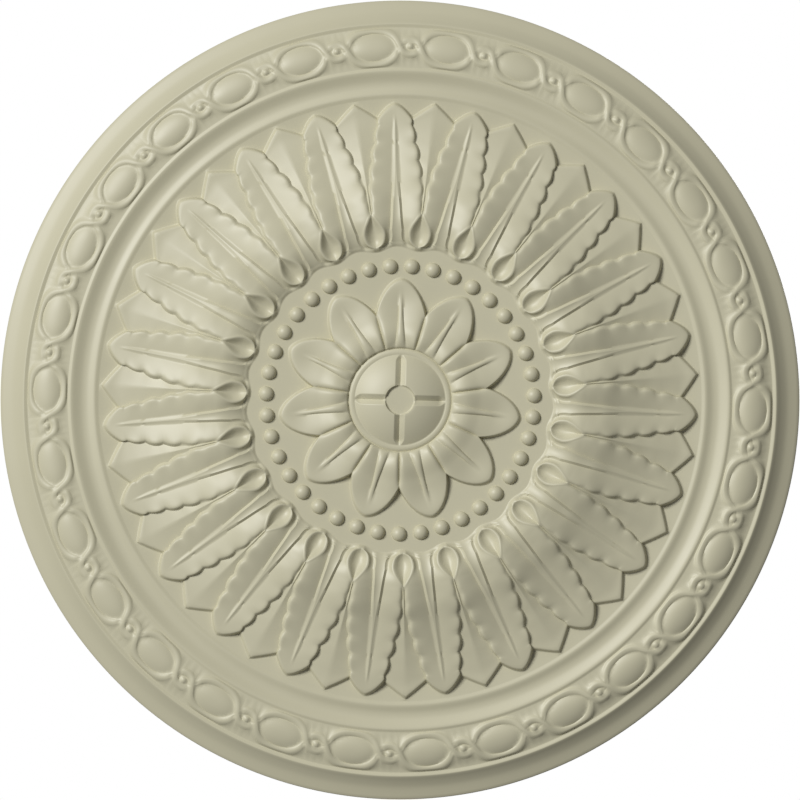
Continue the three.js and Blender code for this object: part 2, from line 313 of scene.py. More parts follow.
def rim_profile():
    """The upright edge with its small rounding, the hollow rim and the ledge."""
    profile = [(OUTER_RADIUS, 0), (OUTER_RADIUS, EDGE_THICKNESS - EDGE_ROUND)]
    for corner in (math.radians(30), math.radians(60)):
        inset = EDGE_ROUND * (1 - math.cos(corner))
        drop = EDGE_ROUND * (1 - math.sin(corner))
        profile.append((OUTER_RADIUS - inset, EDGE_THICKNESS - drop))
    for share in (0.045, 0.15, 0.3, 0.42, 0.5, 0.57, 0.64, 0.72, 0.8, 0.88, 0.94, 0.975, 1):
        rise = (RIM_RISE + LEDGE_STEP) * float(rim_curve(share))
        profile.append((OUTER_RADIUS - RIM_WIDTH * share, EDGE_THICKNESS + rise))
    # The ledge is hollowed towards the band
    for share, rise in ((0.1, 1), (0.35, 0.75), (0.65, 0.3), (0.9, 0)):
        profile.append((mix(LEDGE_RADIUS, BAND_RADIUS, share), LEDGE_HEIGHT + LEDGE_STEP * rise))
    return profile


# The hollow moulding from the lip at 0 to the fillet at 1, between its foot at 0 and the lip's crest at 1
cove_curve = through(
    (0, 1),
    (0.065, 0.86),
    (0.2, 0.515),
    (0.33, 0.22),
    (0.42, 0.06),
    (0.525, 0),
    (0.64, 0.045),
    (0.735, 0.185),
    (0.82, 0.41),
    (0.91, 0.67),
    (0.96, 0.785),
    (1, 0.826),
)


def cove_profile():
    """The lip, the hollow moulding inside it and the fillet, down to the dip at the edge of the field."""
    crest = FIELD_HEIGHT + LIP_RISE
    lip = ((0.3, 0.05), (1.1, 0.4), (1.8, 0.84), (2.3, 0.98), (3.1, 1))
    profile = [(LIP_RADIUS - inset, FIELD_HEIGHT + LIP_RISE * rise) for inset, rise in lip]
    foot = FIELD_HEIGHT - COVE_DROP
    for share in np.linspace(0, 1, 15)[1:]:
        height = foot + (crest - foot) * float(cove_curve(share))
        profile.append((mix(COVE_RADIUS, FILLET_RADIUS, share), height))
    for share, fall in ((0.22, 0.12), (0.44, 0.38), (0.66, 0.65), (0.86, 0.9), (1, 1)):
        rise = mix(FILLET_RISE, -FIELD_DIP, fall)
        profile.append((mix(FILLET_RADIUS, FIELD_RADIUS, share), FIELD_HEIGHT + rise))
    return profile


# Interlaced band
def band_ground(radius):
    fall = np.maximum(0, 1 - (BAND_RADIUS - radius) / BAND_SHOULDER)
    return FIELD_HEIGHT - BAND_RISE * fall**BAND_FALL_POWER


# How far a strand lies from the band's axis, at a distance along from the oval's middle
strand_curve = through(
    (-1, 13.75),
    (0, 13.7),
    (6.1, 13.0),
    (12.0, 11.0),
    (15.3, 8.7),
    (17.2, 6.3),
    (18.9, 3.4),
    (STRAND_CROSSING, 0),
    (22.1, -2.7),
    (23.9, -4.6),
    (26.2, -5.6),
    (28.3, -5.8),
    (30, -5.75),
)


def strand_relief(along, offset, side):
    """Height of the strand that starts on one side of the axis; at a crossing it dives or passes over."""
    centre = strand_curve(np.abs(along))
    step = 0.1
    slope = (strand_curve(np.abs(along) + step) - strand_curve(np.abs(along) - step)) / (2 * step)
    away = np.abs(offset - side * centre) / np.sqrt(1 + slope**2)
    body = np.clip(1 - (away / (STRAND_WIDTH / 2)) ** STRAND_FULLNESS, 0, 1)
    # At the first crossing the strand that comes from the outside lies below, at the second on top
    crossing = np.hypot(np.abs(along) - STRAND_CROSSING, offset)
    near = np.exp(-((crossing / CROSSING_REACH) ** 4))
    over = np.where(along * side < 0, UNDER_STRAND, OVER_STRAND)
    return STRAND_RISE * body * (1 + over * near)


def band_relief(along, offset):
    """Height of the carving over the band's ground, at a distance along and out from an oval's middle."""
    strands = [strand_relief(along, offset, side) for side in (1, -1)]
    reach = np.hypot(along / OVAL_REACH, offset / OVAL_DEPTH)
    oval = OVAL_RISE * np.clip(1 - reach**OVAL_FULLNESS, 0, 1)
    from_pearl = np.abs(along) - CELL_HALF
    pearl_reach = np.hypot(from_pearl, offset - PEARL_INSET) / PEARL_RADIUS
    pearl = PEARL_RISE * np.sqrt(np.clip(1 - pearl_reach**2, 0, 1))
    # Faint rays spread behind each pearl, towards the ledge and towards the lip
    lift = np.abs(offset) - RAY_CENTRE
    ray = np.cos(TURN * np.degrees(np.arctan2(from_pearl, np.maximum(lift, 0.1))) / RAY_PITCH)
    rays = RAY_RISE * ray * ease(*RAY_FADE_IN, lift)
    carving = np.maximum.reduce([*strands, oval, pearl, rays])
    inset = np.minimum(BAND_RADIUS - BAND_AXIS - offset, offset + BAND_AXIS - LIP_RADIUS)
    return carving * ease(0, BAND_FADE, inset)


def band_zone():
    """Rows follow the strands on both sides of the axis, so that each strand keeps its round section."""
    half_along = [0, 4, 7.6, 10.6, 13, 15, 16.6, 17.9, 19.1, 20.3, 21.5, 22.7, 24, 25.3, 26.7]
    half_along = np.array(half_along + [CELL_HALF])
    along = np.concatenate([-half_along[-2:0:-1], half_along])
    centre = np.sqrt(strand_curve(np.abs(along)) ** 2 + CROSSING_ROW_GAP**2)
    edge = STRAND_WIDTH / 2
    inner = np.maximum(centre - edge, STRAND_INNER_SHARE * centre)
    edge_room, flank_room, crest_room = STRAND_ROOMS
    rows = []
    for side, limit in ((1, BAND_RADIUS - BAND_AXIS), (-1, BAND_AXIS - LIP_RADIUS)):
        # From the border of the band over the strand and down to the oval
        strand_edge = np.minimum(centre + edge, limit - edge_room)
        flank = mix(strand_edge, centre, STRAND_FLANK_SHARE)
        out = [np.full_like(along, limit), mix(strand_edge, limit, 0.5)]
        out += [strand_edge + distance for distance in STRAND_EDGE_ROWS]
        out += [np.minimum(flank, limit - flank_room), np.minimum(centre, limit - crest_room)]
        out += [inner + 0.5, inner - 0.2 * inner / centre]
        out += [inner * share for share in OVAL_ROW_SHARES]
        rows.append([side * row for row in out])
    offsets = np.array(rows[0] + [np.zeros_like(along)] + rows[1][::-1])
    share = np.broadcast_to(along / CELL_HALF, offsets.shape)
    radius = BAND_AXIS + offsets
    height = band_ground(radius) + band_relief(np.broadcast_to(along, offsets.shape), offsets)
    return repeat_zone(CELL_COUNT, FIRST_OVAL, share, radius, height)


# Leaves and petals share the way a blade is cut
def blade_height(across, crest_place, cup, roll, hollow=0):
    """Drop below the crest, across an arched blade from its groove, at 0, to its margin, at 1."""
    rise = np.clip(across / crest_place, 0, 1)
    climb = mix(1 - (1 - rise) ** BLADE_ARCH_POWER, rise**BLADE_FLUTE_POWER, hollow)
    return -cup * (1 - climb) - roll * np.clip((across - crest_place) / (1 - crest_place), 0, 1) ** 2


def blade_rows(outline_t, outline_share, insets, step_count, even_t, even_share):
    """Rows along a blade's outline, rows that pass over from them, and even rows on to its foot."""
    steps = np.linspace(0, 1, step_count + 2)[1:-1]
    rows_t = [outline_t + inset for inset in insets]
    rows_t += [mix(outline_t + insets[-1], even_t[0], step) for step in steps]
    rows_share = [outline_share] * len(insets) + [mix(outline_share, even_share[0], step) for step in steps]
    even_rows = np.repeat(even_t[:, None], len(outline_t), axis=1)
    return np.concatenate([np.array(rows_t), even_rows]), np.concatenate([np.array(rows_share), even_share])


def sector_half(tip_radius, length, count, t):
    """Half the width of one leaf's or petal's sector, at a share t of its length."""
    return (tip_radius - length * t) * math.pi / count


# Curves over a leaf's length, from 0 at the tip to 1 at the foot. The crest, the cup and the spread and rise
# of the veins are in millimetres, the half width is a share of the half sector, the back leaf is a share of
# the crest and the opening is a share of the eyelet's half width.
leaf_profile = through(
    (0, LEAF_CROWN * 0.12),
    (0.25, LEAF_CROWN * 0.335),
    (0.5, LEAF_CROWN * 0.66),
    (0.66, LEAF_CROWN * 0.92),
    (0.79, LEAF_CROWN),
    (0.9, LEAF_CROWN * 0.93),
    (0.96, LEAF_CROWN * 0.865),
    (0.985, LEAF_CROWN * 0.8),
    (1, CENTRE_RISE),
)
leaf_cup = through(
    (0, 0), (0.12, 0.4), (0.25, 1.6), (0.5, 2.9), (0.68, 3.8), (0.87, 2.5), (0.965, 3.0), (1, 0)
)
leaf_half_width = through(
    (0.1, 0.425), (0.185, 0.47), (0.288, 0.57), (0.39, 0.67), (0.493, 0.77), (0.6, 0.85), (0.76, 0.93)
)
vein_spread = through(
    (0, 0.3),
    (0.1, 0.4),
    (0.14, 0.9),
    (0.2, 1.5),
    (0.35, 2.0),
    (0.5, 2.7),
    (0.7, 4.2),
    (0.8, 4.8),
    (0.92, 6.1),
    (1, 7.2),
)
vein_rise = through((0.1, 0), (0.15, 0.7), (0.22, 1.2), (0.4, 1.4), (0.7, 1.8), (1, 1.8))
back_leaf = through((0, 0.9), (0.25, 1.02), (0.5, 0.95), (0.62, 0.965), (BACK_LEAF_END, 0.985))
eyelet_opening = through(
    (EYELET_START, 0),
    (0.8, 0.4),
    (0.85, 0.83),
    (0.89, 1),
    (0.93, 0.9),
    (0.95, 0.72),
    (0.962, 0.46),
    (0.968, 0.2),
    (EYELET_END, 0),
)


def eyelet_distance(across, travel):
    """Distance from the drop shaped outline of an eyelet, below 0 inside it."""
    reach = np.linspace(EYELET_START, EYELET_END, 90)
    outline = np.stack([EYELET_HALF_WIDTH * eyelet_opening(reach), LEAF_LENGTH * reach], axis=1)
    start, step = outline[:-1], np.diff(outline, axis=0)
    point = np.stack([across, travel], axis=-1)[..., None, :]
    along = np.clip(((point - start) * step).sum(-1) / (step**2).sum(-1), 0, 1)
    away = np.linalg.norm(point - start - along[..., None] * step, axis=-1).min(-1)
    inside = across < EYELET_HALF_WIDTH * eyelet_opening(travel / LEAF_LENGTH)
    between = (travel > outline[0, 1]) & (travel < outline[-1, 1])
    return np.where(inside & between, -away, away)


def leaf_zone():
    """A half sector holds half a vein, a blade, its wall and half a back leaf, or half an eyelet."""
    blade = np.array([0.1, 0.22, 0.36, 0.52, 0.67, 0.79, 0.88, 0.95, 1.0])
    wall = np.array([0.45, 1.0])
    back = np.array([0.3, 0.6, 0.85, 1.0])
    in_vein, in_blade, in_wall, in_back = range(4)
    part = np.repeat([in_vein, in_blade, in_wall, in_back], [4, len(blade), len(wall), len(back)])
    place = np.concatenate([[0, 0.4, 0.7, 1], blade, wall, back])

    def shares(t):
        """Where each column lies, as a share of the half sector, at a share t of the leaf's length."""
        t = t[:, None]
        half = sector_half(LEAF_TIP_RADIUS, LEAF_LENGTH, LEAF_COUNT, t)
        lobe_turn = np.cos(math.pi * (LEAF_LENGTH * t - FIRST_LOBE) / LOBE_LENGTH)
        lobe = 2 * np.abs(lobe_turn) ** LOBE_FULLNESS - 1
        scallop = LOBE_DEPTH * lobe * ease(*SCALLOPS_COME, t) * (1 - ease(*SCALLOPS_GO, t))
        opening = EYELET_HALF_WIDTH * eyelet_opening(t)
        eyelet_margin = 1 - (opening + EYELET_RIM) / half
        margin = mix(leaf_half_width(t) + scallop / half, eyelet_margin, ease(*MARGIN_TURNS, t))
        vein_half = np.minimum(vein_spread(t) / half, margin * VEIN_SHARE_MOST)
        flank = np.minimum(VEIN_FLANK / (vein_half * half), VEIN_FLANK_MOST)
        vein = np.concatenate([0 * flank, 0.6 * (1 - flank), 1 - flank, 1 + 0 * flank], axis=1)
        eyelet_edge = 1 - np.maximum(opening, EYELET_RIM / 4) / half
        wall_width = LEAF_WALL * mix(LEAF_WALL_AT_TIP, 1, ease(*WALL_WIDENS, t)) / half
        wall_end = margin + np.minimum(wall_width, (1 - margin) * LEAF_WALL_MOST)
        wall_end = mix(wall_end, eyelet_edge, ease(*WALL_TURNS, t))
        columns = [vein_half * vein, mix(vein_half, margin, blade)]
        columns += [mix(margin, wall_end, wall), mix(wall_end, 1, back)]
        return np.concatenate(columns, axis=1), margin, lobe

    # Rows: along the outline, from the outline to the first even row, then evenly to the foot
    round_end = [0.948, 0.955, 0.961, 0.966, 0.971, 0.978, 0.986, 0.993, 1]
    even = np.concatenate([np.linspace(0.15, 0.73, 25), np.linspace(0.745, 0.94, 16), round_end])
    vein_share = TIP_VEIN_SHARE * place
    front_share = np.where(part == in_vein, vein_share, mix(TIP_VEIN_SHARE, NOTCH_SHARE, place))
    past_notch = NOTCH_SHARE + NOTCH_GAP
    back_share = np.where(part == in_wall, NOTCH_SHARE + NOTCH_GAP * place, mix(past_notch, 1, place))
    outline_share = np.where(part <= in_blade, front_share, back_share)
    front_t = LEAF_NOTCH * (outline_share / NOTCH_SHARE) ** LEAF_TIP_POWER
    past_share = (outline_share - NOTCH_SHARE) / (1 - NOTCH_SHARE)
    back_t = mix(LEAF_NOTCH, -BACK_LEAF_OVERHANG / LEAF_LENGTH, past_share)
    outline_t = np.where(part <= in_blade, front_t, back_t)
    insets, cut = (np.array(values, dtype=float) for values in zip(*LEAF_CUT))
    t, share = blade_rows(outline_t, outline_share, insets / LEAF_LENGTH, 4, even, shares(even)[0])

    # The front of the leaf with its vein
    crest = leaf_profile(np.clip(t, 0, 1))
    half = sector_half(LEAF_TIP_RADIUS, LEAF_LENGTH, LEAF_COUNT, t)
    lobe = shares(np.clip(t[:, 0], LEAF_NOTCH, 1))[2]
    in_eyelet = ease(*EYELET_COMES, t)
    foot = ease(*FOOT_FALLS, t)
    cup = leaf_cup(np.clip(t, 0, 1))
    roll = mix(LEAF_ROLL, 0, in_eyelet) * ease(*ROLL_COMES, t)
    crest_place = mix(LEAF_CREST_PLACE, EYELET_CREST_PLACE, in_eyelet)
    scalloped = ease(*RUFFLE_COMES, t) * (1 - ease(*SCALLOPS_GO, t))
    front = crest + blade_height(place, crest_place, cup, roll, ease(*FLUTE_HOLLOWS, t))
    front = front + RUFFLE * lobe * place**3 * scalloped
    column = np.minimum(np.arange(len(part)), 3)
    sag = VEIN_SAG * np.array([1, 0.7, 0, 0])[column] * ease(*VEIN_SAGS, t)
    vein_height = crest - cup + (vein_rise(t) * np.array([1, 1, 1, 0])[column] - sag) * (1 - foot)

    # The gap between two leaves: the wall, the back leaf and the eyelet
    crease = crest * back_leaf(np.clip(t, 0, BACK_LEAF_END))
    crease = crease - BACK_LEAF_SINK * ease(*BACK_LEAF_SINKS, t) * (1 - ease(*BACK_LEAF_RISES, t))
    narrow = ease(*GAP_NARROWS, t)
    margin_height = crest - roll
    drop = LEAF_EDGE * (1 - LEAF_EDGE_LOSS * narrow) * ease(*EDGE_COMES, t)
    wall_foot = np.minimum(margin_height - drop, crease - BACK_LEAF_CREASE * (1 - narrow))
    wall_height = mix(margin_height, wall_foot, place)
    gap_height = np.where(part == in_wall, wall_height, mix(wall_foot, crease, place))
    away = eyelet_distance((1 - share) * half, LEAF_LENGTH * t)
    bowl = crest - EYELET_HOLLOW * (1 - (1 - np.clip(-away / EYELET_BOWL, 0, 1)) ** 2)
    gap_height = mix(gap_height, bowl, in_eyelet)

    height = np.where(part == in_vein, vein_height, np.where(part == in_blade, front, gap_height))
    rim = np.sin(math.pi * np.clip(away / EYELET_RIM, 0, 1))
    height += EYELET_RIM_RISE * rim * in_eyelet * (1 - foot)
    height[: len(cut)] *= cut[:, None]
    radius = LEAF_TIP_RADIUS - LEAF_LENGTH * t + FOOT_WAVE * ease(*FOOT_WAVES, t) * np.cos(math.pi * share)
    share = np.concatenate([share, share[-1:]])
    radius = np.concatenate([radius, radius[-1:] - FOOT_STEP])
    height = np.concatenate([height, 0 * height[-1:] + CENTRE_RISE])
    return mirrored_zone(LEAF_COUNT, FIRST_LEAF, share, radius, FIELD_HEIGHT + height)


def bead_zone():
    """Each bead is a square grid pulled round and domed, with flat ground between."""
    grid = np.sin(np.linspace(-1, 1, 9) * math.pi / 2)
    u, v = np.meshgrid(grid, grid[::-1])
    across = u * np.sqrt(1 - v**2 / 2) * BEAD_RADIUS
    along = v * np.sqrt(1 - u**2 / 2) * BEAD_RADIUS
    rise = BEAD_FLATNESS * np.sqrt(np.clip(BEAD_RADIUS**2 - across**2 - along**2, 0, None))
    half_pitch = TURN * BEAD_RING_RADIUS / BEAD_COUNT / 2
    gap = np.ones((len(grid), 1))
    share = np.concatenate([across / half_pitch, gap], axis=1)
    radius = BEAD_RING_RADIUS + np.concatenate([along, grid[::-1, None] * BEAD_RADIUS], axis=1)
    height = CENTRE_HEIGHT + np.concatenate([rise, 0 * gap], axis=1)
    return repeat_zone(BEAD_COUNT, FIRST_BEAD, share, radius, height)


# Curves over a petal's length, from 0 at the tip to 1 at the boss: a share of the crown, and millimetres
petal_profile = through((0, 0.3), (0.25, 0.42), (0.55, 0.68), (0.8, 1), (0.88, 0.96), (1, 0.58))
petal_vein_spread = through((0, 0.4), (0.24, 0.5), (0.5, 1.9), (0.75, 3.1), (1, 4.5))


def petal_zone():
    """A half sector holds half a vein and a blade, which meets the next petal in a valley."""
    blade = np.array([0.08, 0.18, 0.3, 0.43, 0.56, 0.69, 0.8, 0.89, 0.95, 1.0])
    vein = np.array([0, 0.5, 0.75, 1.0])
    in_vein, in_blade = range(2)
    part = np.repeat([in_vein, in_blade], [len(vein), len(blade)])
    place = np.concatenate([vein, blade])

    def even_row(t):
        vein_half = petal_vein_spread(t) / sector_half(PETAL_TIP_RADIUS, PETAL_LENGTH, PETAL_COUNT, t)
        return np.where(part == in_vein, vein_half * place, mix(vein_half, 1, place))

    even = np.concatenate([np.linspace(0.52, 0.93, 14), [0.95, 0.965]])
    even_share = np.array([even_row(t) for t in even])
    vein_share = PETAL_TIP_VEIN_SHARE * place
    outline_share = np.where(part == in_vein, vein_share, mix(PETAL_TIP_VEIN_SHARE, 1, place))
    outline_t = PETAL_SHOULDER * outline_share**PETAL_TIP_POWER
    insets, cut = (np.array(values, dtype=float) for values in zip(*PETAL_CUT))
    t, share = blade_rows(outline_t, outline_share, insets / PETAL_LENGTH, 8, even, even_share)

    crest = PETAL_CROWN * petal_profile(t)
    level = 1 - PETAL_FOOT_LOSS * ease(*PETAL_FOOT_FLATTENS, t)
    cup = PETAL_CUP * ease(*PETAL_CUP_COMES, t) * level
    from_side = (1 - share) * sector_half(PETAL_TIP_RADIUS, PETAL_LENGTH, PETAL_COUNT, t)
    depth = (1 - np.clip(from_side / PETAL_VALLEY_WIDTH, 0, 1)) ** PETAL_VALLEY_POWER
    valley = PETAL_VALLEY * depth * ease(*PETAL_VALLEY_COMES, t) * level
    front = crest + blade_height(place[None, :], PETAL_CREST_PLACE, cup, PETAL_ROLL) - valley
    vein_climb = np.clip((1 - place) / PETAL_VEIN_FLANK, 0, 1)
    vein_height = crest - cup + PETAL_VEIN_RISE * vein_climb * ease(*PETAL_VEIN_COMES, t) * level
    height = np.where(part == in_vein, vein_height, front)
    height[: len(cut)] *= cut[:, None]
    radius = PETAL_TIP_RADIUS - PETAL_LENGTH * t
    return mirrored_zone(PETAL_COUNT, FIRST_PETAL, share, radius, CENTRE_HEIGHT + height)


def boss_zone():
    """Rows of radius, height and slot depth: the joint with the petals, the rim, the dome, the button."""
    rim_height = CENTRE_HEIGHT + BOSS_RIM_RISE
    dome_radius = BOSS_RADIUS - BOSS_RIM_WIDTH
    half_angle = TURN / SLOT_COUNT / 2
    button_edge = BUTTON_RADIUS + BUTTON_STEP

    def dome(radius):
        return rim_height - DOME_SINK + DOME_RISE * (1 - (radius / dome_radius) ** DOME_POWER)

    rows = [(BOSS_RADIUS + BOSS_STEP, CENTRE_HEIGHT + BOSS_FOOT, 0)]
    for inset, drop in ((-0.2, 0.6), (0.5, 0.2), (1.3, 0)):
        rows.append((BOSS_RADIUS - inset, rim_height - drop, 0))
    for outset, drop in ((1.2, 0), (0.5, 0.12)):
        rows.append((dome_radius + outset, rim_height - drop, 0))
    rows.append((dome_radius, dome(dome_radius), 0))
    for radius in np.linspace(dome_radius - DOME_FIRST_ROW, button_edge + DOME_LAST_ROW, DOME_ROWS):
        rows.append((radius, dome(radius), SLOT_DEPTH * min(1, SLOT_END_SLOPE * (dome_radius - radius))))
    rows.append((button_edge, dome(button_edge) - BUTTON_EDGE_DROP, BUTTON_SINK - BUTTON_EDGE_RISE))
    floor = dome(BUTTON_RADIUS) - BUTTON_SINK
    for inset, rise in ((-0.15, BUTTON_EDGE_RISE), (0.3, 0), (0.8, 0), (5, 0)):
        rows.append((BUTTON_RADIUS - inset, floor + rise, 0))
    radius, level, depth = (np.array(values)[:, None] for values in zip(*rows))
    taper = ease(-SLOT_OVERRUN, SLOT_TAPER, dome_radius - radius)
    slot_half = SLOT_WIDTH / 2 * mix(SLOT_END_SHARE, 1, taper)
    slot = np.arcsin(slot_half / np.maximum(radius, BUTTON_RADIUS)) / half_angle
    # Columns: across half a slot and just past its edge, then evenly to the middle of the quarter
    in_slot = np.array([0, 0.12, 0.5, 0.88, 1.0, 1.12])
    rest = np.linspace(0, 1, 11)[1:]
    share = np.concatenate([slot * in_slot, mix(slot * in_slot[-1], 1, rest)], axis=1)
    cut = 1 - np.clip(share / slot, 0, 1)
    height = level - depth * cut
    return mirrored_zone(SLOT_COUNT, FIRST_SLOT, share, np.broadcast_to(radius, share.shape), height)


def stack(zones, face_middle):
    """The carved face: each zone's rows are joined, zones are stitched by angle, the middle is fanned."""
    points, faces = [], []

    def add_rows(zone):
        rows = []
        for angle, radius, height in zip(*zone):
            start = len(points)
            points.extend(zip(radius * np.sin(angle), radius * np.cos(angle), height))
            rows.append((np.arange(start, start + len(angle)), angle))
        return rows

    def plan_area(a, b, c):
        (ax, ay, _), (bx, by, _), (cx, cy, _) = points[a], points[b], points[c]
        return (bx - ax) * (cy - ay) - (by - ay) * (cx - ax)

    def by_angle(row):
        order = np.argsort(row[1] % TURN)
        return [int(i) for i in row[0][order]], [float(a) for a in (row[1] % TURN)[order]]

    def stitch(outer_row, inner_row):
        outer, outer_angle = by_angle(outer_row)
        inner, inner_angle = by_angle(inner_row)
        outer, outer_angle = outer + outer[:1], outer_angle + [outer_angle[0] + TURN]
        inner, inner_angle = inner + inner[:1], inner_angle + [inner_angle[0] + TURN]
        i = j = 0
        while i < len(outer) - 1 or j < len(inner) - 1:
            a, c = outer[i], inner[j]
            on_outer = i < len(outer) - 1
            if on_outer and j < len(inner) - 1:
                on_outer = outer_angle[i + 1] <= inner_angle[j + 1]
                if on_outer and plan_area(a, c, outer[i + 1]) <= 0:
                    on_outer = False
                elif not on_outer and plan_area(a, c, inner[j + 1]) <= 0:
                    on_outer = True
            if on_outer:
                faces.append((a, c, outer[i + 1]))
                i += 1
            else:
                faces.append((a, c, inner[j + 1]))
                j += 1

    last = None
    for zone in zones:
        rows = add_rows(zone)
        if last is not None:
            stitch(last, rows[0])
        for (outer, _), (inner, _) in zip(rows, rows[1:]):
            quads = zip(outer, inner, np.roll(inner, -1), np.roll(outer, -1))
            faces.extend(tuple(int(i) for i in quad) for quad in quads)
        last = rows[-1]
    points.append((0, 0, face_middle))
    ring = [int(i) for i in last[0]]
    faces.extend((a, len(points) - 1, b) for a, b in zip(ring, ring[1:] + ring[:1]))
    return points, faces


def close_back(points, faces):
    """The plain flat back, as a few rings and a middle point, from the first row of the rim."""
    ring = list(range(TURNED_SIDES))
    for inset in BACK_RING_INSETS:
        start = len(points)
        points.extend([(points[i][0] * (1 - inset), points[i][1] * (1 - inset), 0) for i in ring])
        inner = list(range(start, len(points)))
        faces.extend(zip(ring, ring[1:] + ring[:1], inner[1:] + inner[:1], inner))
        ring = inner
    points.append((0, 0, 0))
    faces.extend((a, b, len(points) - 1) for a, b in zip(ring, ring[1:] + ring[:1]))


def turned_over(points):
    """Face down, in metres: half a turn about the Y axis."""
    return [(-x * MILLIMETRE, y * MILLIMETRE, -z * MILLIMETRE) for x, y, z in points]


def make_rose(paint):
    boss = boss_zone()
    zones = [turned_zone(rim_profile()), band_zone(), turned_zone(cove_profile())]
    zones += [leaf_zone(), bead_zone(), petal_zone(), boss]
    points, faces = stack(zones, float(boss[2][-1][0]))
    close_back(points, faces)
    mesh = bpy.data.meshes.new("carved_rose")
    mesh.from_pydata(turned_over(points), [], faces)
    mesh.validate()
    mesh.polygons.foreach_set("use_smooth", [True] * len(mesh.polygons))
    mesh.set_sharp_from_angle(angle=math.radians(CREASE_ANGLE))
    mesh.materials.append(paint)
    rose = bpy.data.objects.new("carved_rose", mesh)
    bpy.context.scene.collection.objects.link(rose)
    return rose


# Materials
MOTTLE_SCALE = 14
MOTTLE_DETAIL = 3
NOISE_LOW = 0.3
NOISE_HIGH = 0.7
ROUGHNESS_CHANGE = 0.04
PEEL_DETAIL = 2
PEEL_STRENGTH = 0.5


def shader_node(tree, kind, **values):
    node = tree.nodes.new(kind)
    for name, value in values.items():
        setattr(node, name, value)
    return node


def paint_surface_group():
    """Sprayed paint over a moulding: a faint mottle, a fine orange peel and a soft variation of gloss."""
    group = bpy.data.node_groups.new("sprayed_paint", "ShaderNodeTree")
    for name, kind, start in (
        ("Colour", "NodeSocketColor", (0.6, 0.58, 0.42, 1)),
        ("Mottle", "NodeSocketFloat", 0.03),
        ("Roughness", "NodeSocketFloat", 0.4),
        ("Peel Scale", "NodeSocketFloat", 900.0),
    ):
        socket = group.interface.new_socket(name, in_out="INPUT", socket_type=kind)
        socket.default_value = start
    group.interface.new_socket("Colour", in_out="OUTPUT", socket_type="NodeSocketColor")
    for name in ("Roughness", "Height"):
        group.interface.new_socket(name, in_out="OUTPUT", socket_type="NodeSocketFloat")
    link = group.links.new
    given = shader_node(group, "NodeGroupInput")
    result = shader_node(group, "NodeGroupOutput")
    place = shader_node(group, "ShaderNodeTexCoord")
    # Broad clouds between -1 and 1 shift the colour and the roughness
    broad = shader_node(group, "ShaderNodeTexNoise")
    broad.inputs["Scale"].default_value = MOTTLE_SCALE
    broad.inputs["Detail"].default_value = MOTTLE_DETAIL
    link(place.outputs["Object"], broad.inputs["Vector"])
    shade = shader_node(group, "ShaderNodeMapRange")
    shade.inputs["From Min"].default_value = NOISE_LOW
    shade.inputs["From Max"].default_value = NOISE_HIGH
    shade.inputs["To Min"].default_value = -1
    link(broad.outputs["Fac"], shade.inputs["Value"])
    amount = shader_node(group, "ShaderNodeMath", operation="MULTIPLY_ADD")
    amount.inputs[2].default_value = 1
    link(shade.outputs["Result"], amount.inputs[0])
    link(given.outputs["Mottle"], amount.inputs[1])
    tint = shader_node(group, "ShaderNodeVectorMath", operation="SCALE")
    link(given.outputs["Colour"], tint.inputs[0])
    link(amount.outputs["Value"], tint.inputs["Scale"])
    link(tint.outputs["Vector"], result.inputs["Colour"])
    rough = shader_node(group, "ShaderNodeMath", operation="MULTIPLY_ADD")
    rough.inputs[1].default_value = ROUGHNESS_CHANGE
    link(shade.outputs["Result"], rough.inputs[0])
    link(given.outputs["Roughness"], rough.inputs[2])
    link(rough.outputs["Value"], result.inputs["Roughness"])
    peel = shader_node(group, "ShaderNodeTexNoise")
    peel.inputs["Detail"].default_value = PEEL_DETAIL
    link(place.outputs["Object"], peel.inputs["Vector"])
    link(given.outputs["Peel Scale"], peel.inputs["Scale"])
    link(peel.outputs["Fac"], result.inputs["Height"])
    return group


def paint_material(name, group, colour, mottle, roughness, peel_scale, peel_depth):
    material = bpy.data.materials.new(name)
    material.use_nodes = True
    tree = material.node_tree
    surface = tree.nodes["Principled BSDF"]
    effect = shader_node(tree, "ShaderNodeGroup", node_tree=group)
    effect.inputs["Colour"].default_value = (*colour, 1)
    effect.inputs["Mottle"].default_value = mottle
    effect.inputs["Roughness"].default_value = roughness
    effect.inputs["Peel Scale"].default_value = peel_scale
    bump = shader_node(tree, "ShaderNodeBump")
    bump.inputs["Strength"].default_value = PEEL_STRENGTH
    bump.inputs["Distance"].default_value = peel_depth
    tree.links.new(effect.outputs["Colour"], surface.inputs["Base Color"])
    tree.links.new(effect.outputs["Roughness"], surface.inputs["Roughness"])
    tree.links.new(effect.outputs["Height"], bump.inputs["Height"])
    tree.links.new(bump.outputs["Normal"], surface.inputs["Normal"])
    return material


# Studio: lengths in metres, the camera's sensor in millimetres, angles in degrees, azimuth from +Y to -X
CAMERA_DISTANCE = 12.0
SENSOR_WIDTH = 36
SIGHT_LIMIT = 200
FRAME_WIDTH = 0.6108
KEY_AZIMUTH = 303.5
KEY_SLANT = 41.5
KEY_STRENGTH = 2.72
KEY_SOFTNESS = 22.0
BACK_AZIMUTH = 60
BACK_SLANT = 35
BACK_STRENGTH = 2.4
BACK_SOFTNESS = 30
AMBIENT = 0.13
FLOOR_DROP = 14.0
FLOOR_SIZE = 240
FLOOR_SHADE = 0.9
FLOOR_ROUGHNESS = 0.9


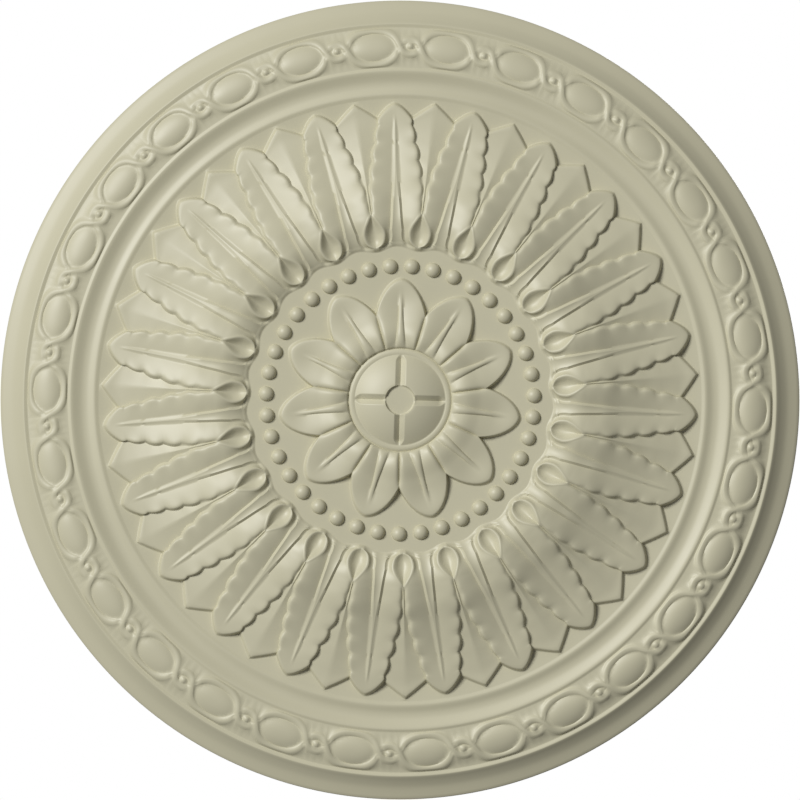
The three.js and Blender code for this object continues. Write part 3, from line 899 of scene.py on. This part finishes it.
def add_camera():
    """Straight below the rose, so wide that the rose fills the picture as it does in the photo."""
    data = bpy.data.cameras.new("camera")
    data.sensor_width = SENSOR_WIDTH
    data.lens = data.sensor_width * (CAMERA_DISTANCE - EDGE_THICKNESS * MILLIMETRE) / FRAME_WIDTH
    data.clip_end = SIGHT_LIMIT
    camera = bpy.data.objects.new("camera", data)
    camera.location = (0, 0, -CAMERA_DISTANCE)
    camera.rotation_euler = (math.pi, 0, math.pi)
    bpy.context.scene.collection.objects.link(camera)
    bpy.context.scene.camera = camera


def add_sun(name, strength, softness, slant, azimuth, from_below):
    data = bpy.data.lights.new(name, "SUN")
    data.energy = strength
    data.angle = math.radians(softness)
    light = bpy.data.objects.new(name, data)
    slant, azimuth = math.radians(slant), math.radians(azimuth)
    across = math.sin(slant)
    upright = math.cos(slant) * (-1 if from_below else 1)
    away = (-math.sin(azimuth) * across, math.cos(azimuth) * across, upright)
    light.rotation_euler = Vector(away).to_track_quat("Z", "Y").to_euler()
    bpy.context.scene.collection.objects.link(light)


def add_world():
    """Faint light from all round, and white where the camera looks past the rose and the floor."""
    world = bpy.data.worlds.new("studio")
    world.use_nodes = True
    bpy.context.scene.world = world
    tree = world.node_tree
    tree.nodes.clear()
    path = shader_node(tree, "ShaderNodeLightPath")
    ambient = shader_node(tree, "ShaderNodeBackground")
    ambient.inputs["Strength"].default_value = AMBIENT
    backdrop = shader_node(tree, "ShaderNodeBackground")
    for background in (ambient, backdrop):
        background.inputs["Color"].default_value = (1, 1, 1, 1)
    blend = shader_node(tree, "ShaderNodeMixShader")
    output = shader_node(tree, "ShaderNodeOutputWorld")
    tree.links.new(path.outputs["Is Camera Ray"], blend.inputs["Fac"])
    tree.links.new(ambient.outputs["Background"], blend.inputs[1])
    tree.links.new(backdrop.outputs["Background"], blend.inputs[2])
    tree.links.new(blend.outputs["Shader"], output.inputs["Surface"])


def add_floor():
    """A plain pale floor far below, which throws no light or shadow on the rose."""
    bpy.ops.mesh.primitive_plane_add(size=FLOOR_SIZE, location=(0, 0, -FLOOR_DROP))
    floor = bpy.context.object
    floor.name = "floor"
    material = bpy.data.materials.new("floor")
    material.use_nodes = True
    surface = material.node_tree.nodes["Principled BSDF"]
    surface.inputs["Base Color"].default_value = (FLOOR_SHADE, FLOOR_SHADE, FLOOR_SHADE, 1)
    surface.inputs["Roughness"].default_value = FLOOR_ROUGHNESS
    floor.data.materials.append(material)
    floor.visible_diffuse = False
    floor.visible_glossy = False
    floor.visible_shadow = False


bpy.context.scene.view_settings.view_transform = "Standard"
add_camera()
add_world()
add_floor()
add_sun("key", KEY_STRENGTH, KEY_SOFTNESS, KEY_SLANT, KEY_AZIMUTH, from_below=True)
add_sun("back_light", BACK_STRENGTH, BACK_SOFTNESS, BACK_SLANT, BACK_AZIMUTH, from_below=False)

face_paint = paint_material(
    "face_paint",
    paint_surface_group(),
    colour=(0.60, 0.57, 0.41),
    mottle=0.012,
    roughness=0.46,
    peel_scale=700,
    peel_depth=0.00002,
)
rose = make_rose(face_paint)
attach(rose, "root")
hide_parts("ceiling_rose")

triangles = sum(len(face.vertices) - 2 for face in rose.data.polygons)
assert triangles < MOST_TRIANGLES, triangles
